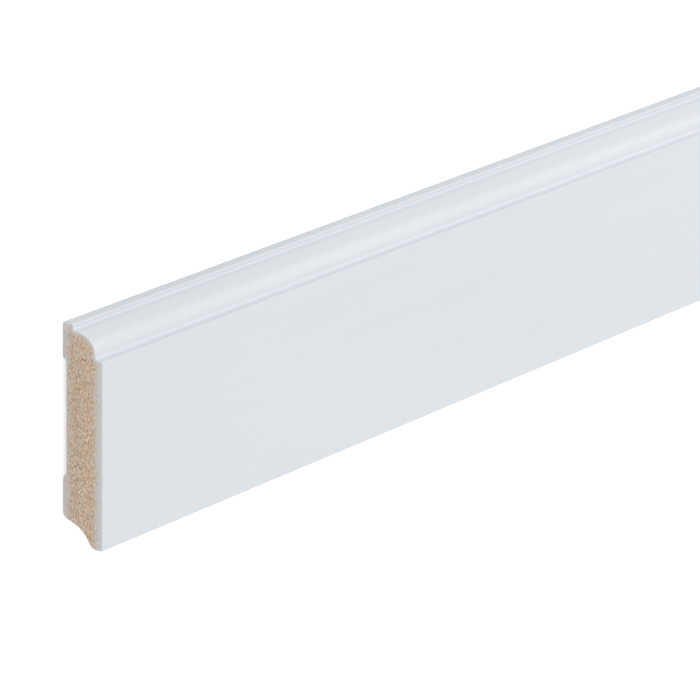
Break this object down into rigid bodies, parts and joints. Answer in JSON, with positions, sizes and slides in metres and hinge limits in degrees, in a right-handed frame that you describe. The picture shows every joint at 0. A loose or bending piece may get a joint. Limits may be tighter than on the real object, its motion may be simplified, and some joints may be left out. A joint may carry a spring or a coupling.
{
  "type": "skirting board length",
  "caption": "Straight length of white-faced fibreboard skirting with a rounded step moulding on the top edge, a relieved back and a hollow behind the bottom edge.",
  "frame": {"origin": "under the middle of the length and of the height, on the plane that the back lies on", "axes": "+X along the length, +Y towards the moulded top edge, +Z out from the wall side to the face"},
  "size_m": [2.4, 0.08, 0.018],
  "materials": {
    "white_fibreboard": "satin"
  },
  "bodies": {
    "root": {"skirting_board": "white_fibreboard"}
  },
  "joints": []
}
